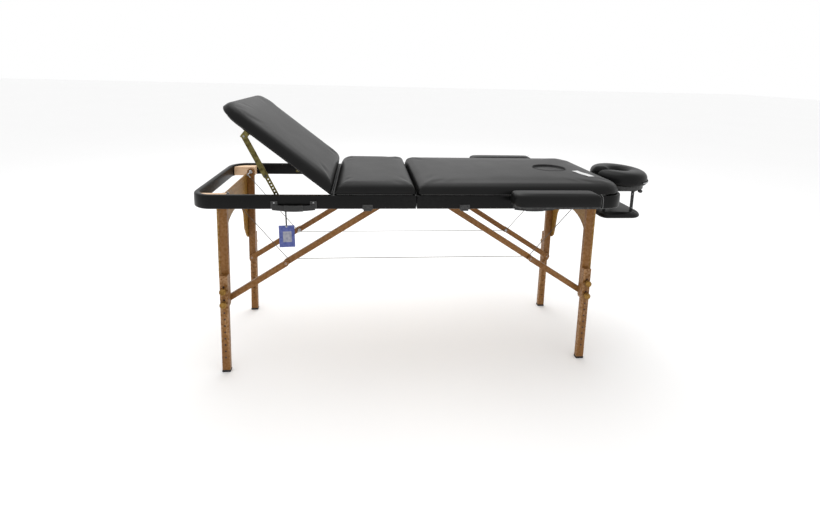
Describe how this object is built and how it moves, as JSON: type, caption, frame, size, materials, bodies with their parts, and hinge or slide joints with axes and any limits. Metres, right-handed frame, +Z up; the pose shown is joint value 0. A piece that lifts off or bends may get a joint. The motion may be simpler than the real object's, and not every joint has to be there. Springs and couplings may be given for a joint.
{
  "type": "portable massage table",
  "caption": "Folding wooden massage table with a padded top in sections, a lifted backrest, telescoping legs, armrests, a face cradle and a hand shelf.",
  "frame": {"origin": "on the floor, midway between the foot end of the frame and the tip of the face cradle, and midway across the table", "axes": "+X toward the head end (face cradle), +Y across the table away from the carrying handles, +Z up"},
  "size_m": [2.12, 0.816, 1.2005],
  "materials": {
    "cushion_cover": "satin charcoal polyurethane-coated fabric with a fine leather grain, over foam",
    "frame_cover": "satin black polyurethane leather over the rails",
    "beech": "warm brown lacquered beech",
    "arch_plywood": "lacquered plywood",
    "pale_beech": "unstained beech",
    "plywood": "plywood",
    "steel": "satin",
    "cable_steel": "stranded, coated",
    "zinc_steel": "yellow zinc plated",
    "brass": "satin",
    "black_steel": "satin black",
    "black_plastic": "satin",
    "webbing": "woven black webbing"
  },
  "bodies": {
    "foot_frame": {"foot_near_rail": "frame_cover", "foot_far_rail": "frame_cover", "foot_end_rail": "frame_cover", "foot_centre_rail": "frame_cover", "foot_near_block": "pale_beech", "foot_far_block": "pale_beech", "seat_deck": "plywood", "seat_cushion": "cushion_cover", "foot_hinge_leaf": "steel", "backrest_hinge_pin": "steel"},
    "fold_pin": {"centre_hinge_pin": "steel", "near_cable": "cable_steel", "far_cable": "cable_steel"},
    "head_frame": {"head_near_rail": "frame_cover", "head_far_rail": "frame_cover", "head_end_rail": "frame_cover", "head_centre_rail": "frame_cover", "head_near_block": "pale_beech", "head_far_block": "pale_beech", "head_deck": "plywood", "head_cushion": "cushion_cover", "head_hinge_leaf": "steel"},
    "face_plug": {"face_plug": "cushion_cover"},
    "backrest": {"backrest_deck": "plywood", "backrest_cushion": "cushion_cover"},
    "stay_arms": {"near_stay_arm": "zinc_steel", "far_stay_arm": "zinc_steel"},
    "stay_bars": {"near_stay_bar": "zinc_steel", "far_stay_bar": "zinc_steel"},
    "cradle_rods": {"cradle_rods": "black_steel"},
    "cradle_platform": {"cradle_platform": "black_plastic", "cradle_cushion": "cushion_cover"},
    "cradle_lock_knob": {"cradle_lock_knob": "black_plastic"},
    "hand_shelf": {"hand_shelf": "cushion_cover"},
    "near_armrest": {"near_armrest": "cushion_cover"},
    "far_armrest": {"far_armrest": "cushion_cover"},
    "foot_handle": {"foot_handle": "webbing"},
    "head_handle": {"head_handle": "webbing"},
    "foot_legs": {"foot_near_upright": "beech", "foot_far_upright": "beech", "foot_arch_board": "arch_plywood"},
    "foot_lower_braces": {"foot_near_lower_brace": "beech", "foot_far_lower_brace": "beech"},
    "foot_upper_braces": {"foot_near_upper_brace": "beech", "foot_far_upper_brace": "beech"},
    "foot_near_lower_leg": {"foot_near_lower_leg": "beech"},
    "foot_near_knob": {"foot_near_knob": "brass"},
    "foot_far_lower_leg": {"foot_far_lower_leg": "beech"},
    "foot_far_knob": {"foot_far_knob": "brass"},
    "head_legs": {"head_near_upright": "beech", "head_far_upright": "beech", "head_arch_board": "arch_plywood"},
    "head_lower_braces": {"head_near_lower_brace": "beech", "head_far_lower_brace": "beech"},
    "head_upper_braces": {"head_near_upper_brace": "beech", "head_far_upper_brace": "beech"},
    "head_near_lower_leg": {"head_near_lower_leg": "beech"},
    "head_near_knob": {"head_near_knob": "brass"},
    "head_far_lower_leg": {"head_far_lower_leg": "beech"},
    "head_far_knob": {"head_far_knob": "brass"}
  },
  "joints": [
    {"name": "centre_fold", "type": "hinge", "parent": "foot_frame", "child": "fold_pin", "pos_m": [-0.13, 0, 0.758], "axis": [0, 1, 0], "range_deg": [0, 90], "deforming": ["near_cable", "far_cable"]},
    {"name": "centre_close", "type": "hinge", "parent": "fold_pin", "child": "head_frame", "pos_m": [-0.13, 0, 0.758], "axis": [0, 1, 0], "range_deg": [0, 90]},
    {"name": "foot_leg_fold", "type": "hinge", "parent": "foot_frame", "child": "foot_legs", "pos_m": [-0.945, 0, 0.79], "axis": [0, -1, 0], "range_deg": [0, 90]},
    {"name": "foot_upper_brace_fold", "type": "hinge", "parent": "foot_frame", "child": "foot_upper_braces", "pos_m": [-0.215, 0, 0.785], "axis": [0, 1, 0], "range_deg": [0, 33.61]},
    {"name": "foot_lower_brace_fold", "type": "hinge", "parent": "foot_legs", "child": "foot_lower_braces", "pos_m": [-0.945, 0, 0.32], "axis": [0, -1, 0], "range_deg": [0, 56.41]},
    {"name": "foot_near_leg_slide", "type": "slide", "parent": "foot_legs", "child": "foot_near_lower_leg", "axis": [0, 0, 1], "range_m": [0, 0.24]},
    {"name": "foot_near_knob_turn", "type": "hinge", "parent": "foot_legs", "child": "foot_near_knob", "pos_m": [-0.945, -0.2543, 0.385], "axis": [0, -1, 0], "continuous": true},
    {"name": "foot_far_leg_slide", "type": "slide", "parent": "foot_legs", "child": "foot_far_lower_leg", "axis": [0, 0, 1], "range_m": [0, 0.24]},
    {"name": "foot_far_knob_turn", "type": "hinge", "parent": "foot_legs", "child": "foot_far_knob", "pos_m": [-0.945, 0.2543, 0.385], "axis": [0, 1, 0], "continuous": true},
    {"name": "head_leg_fold", "type": "hinge", "parent": "head_frame", "child": "head_legs", "pos_m": [0.685, 0, 0.79], "axis": [0, 1, 0], "range_deg": [0, 90]},
    {"name": "head_upper_brace_fold", "type": "hinge", "parent": "head_frame", "child": "head_upper_braces", "pos_m": [-0.045, 0, 0.785], "axis": [0, -1, 0], "range_deg": [0, 33.61]},
    {"name": "head_lower_brace_fold", "type": "hinge", "parent": "head_legs", "child": "head_lower_braces", "pos_m": [0.685, 0, 0.32], "axis": [0, 1, 0], "range_deg": [0, 56.41]},
    {"name": "head_near_leg_slide", "type": "slide", "parent": "head_legs", "child": "head_near_lower_leg", "axis": [0, 0, 1], "range_m": [0, 0.24]},
    {"name": "head_near_knob_turn", "type": "hinge", "parent": "head_legs", "child": "head_near_knob", "pos_m": [0.685, -0.2543, 0.385], "axis": [0, -1, 0], "continuous": true},
    {"name": "head_far_leg_slide", "type": "slide", "parent": "head_legs", "child": "head_far_lower_leg", "axis": [0, 0, 1], "range_m": [0, 0.24]},
    {"name": "head_far_knob_turn", "type": "hinge", "parent": "head_legs", "child": "head_far_knob", "pos_m": [0.685, 0.2543, 0.385], "axis": [0, 1, 0], "continuous": true},
    {"name": "backrest_tilt", "type": "hinge", "parent": "foot_frame", "child": "backrest", "pos_m": [-0.4885, 0, 0.8175], "axis": [0, -1, 0], "range_deg": [0, 38]},
    {"name": "stay_arm_swing", "type": "hinge", "parent": "backrest", "child": "stay_arms", "pos_m": [-0.8388, 0, 1.05946], "axis": [0, -1, 0], "range_deg": [0, 24.42]},
    {"name": "stay_bar_slide", "type": "slide", "parent": "stay_arms", "child": "stay_bars", "axis": [-0.4527, 0, 0.8917], "range_m": [0, 0.09078]},
    {"name": "plug_lift", "type": "slide", "parent": "head_frame", "child": "face_plug", "axis": [0, 0, 1], "range_m": [0, 0.1]},
    {"name": "cradle_pull", "type": "slide", "parent": "head_frame", "child": "cradle_rods", "axis": [1, 0, 0], "range_m": [0, 0.12]},
    {"name": "cradle_tilt", "type": "hinge", "parent": "cradle_rods", "child": "cradle_platform", "pos_m": [1.0052, 0, 0.7924], "axis": [0, 1, 0], "range_deg": [0, 25]},
    {"name": "cradle_lock_turn", "type": "hinge", "parent": "cradle_rods", "child": "cradle_lock_knob", "pos_m": [0.992, -0.0883, 0.784], "axis": [0, -1, 0], "continuous": true},
    {"name": "hand_shelf_swing", "type": "hinge", "parent": "cradle_rods", "child": "hand_shelf", "pos_m": [0.928, 0, 0.776], "axis": [0, 1, 0], "range_deg": [-12, 12]},
    {"name": "near_armrest_pull", "type": "slide", "parent": "head_frame", "child": "near_armrest", "axis": [0, -1, 0], "range_m": [0, 0.06]},
    {"name": "far_armrest_pull", "type": "slide", "parent": "head_frame", "child": "far_armrest", "axis": [0, 1, 0], "range_m": [0, 0.06]},
    {"name": "foot_handle_swing", "type": "hinge", "parent": "foot_frame", "child": "foot_handle", "pos_m": [-0.6375, -0.3006, 0.7825], "axis": [-1, 0, 0], "range_deg": [0, 60]},
    {"name": "head_handle_swing", "type": "hinge", "parent": "head_frame", "child": "head_handle", "pos_m": [0.3775, -0.3006, 0.7825], "axis": [-1, 0, 0], "range_deg": [0, 60]}
  ],
  "couplings": [
    {"joint": "foot_leg_fold", "follows": "centre_fold", "ratio": 1},
    {"joint": "foot_upper_brace_fold", "follows": "centre_fold", "ratio": 0.37331},
    {"joint": "foot_lower_brace_fold", "follows": "centre_fold", "ratio": 0.62669},
    {"joint": "head_leg_fold", "follows": "centre_fold", "ratio": 1},
    {"joint": "head_upper_brace_fold", "follows": "centre_fold", "ratio": 0.37331},
    {"joint": "head_lower_brace_fold", "follows": "centre_fold", "ratio": 0.62669},
    {"joint": "stay_arm_swing", "follows": "backrest_tilt", "ratio": 0.64229},
    {"joint": "stay_bar_slide", "follows": "backrest_tilt", "m_per_rad": 0.13672}
  ]
}
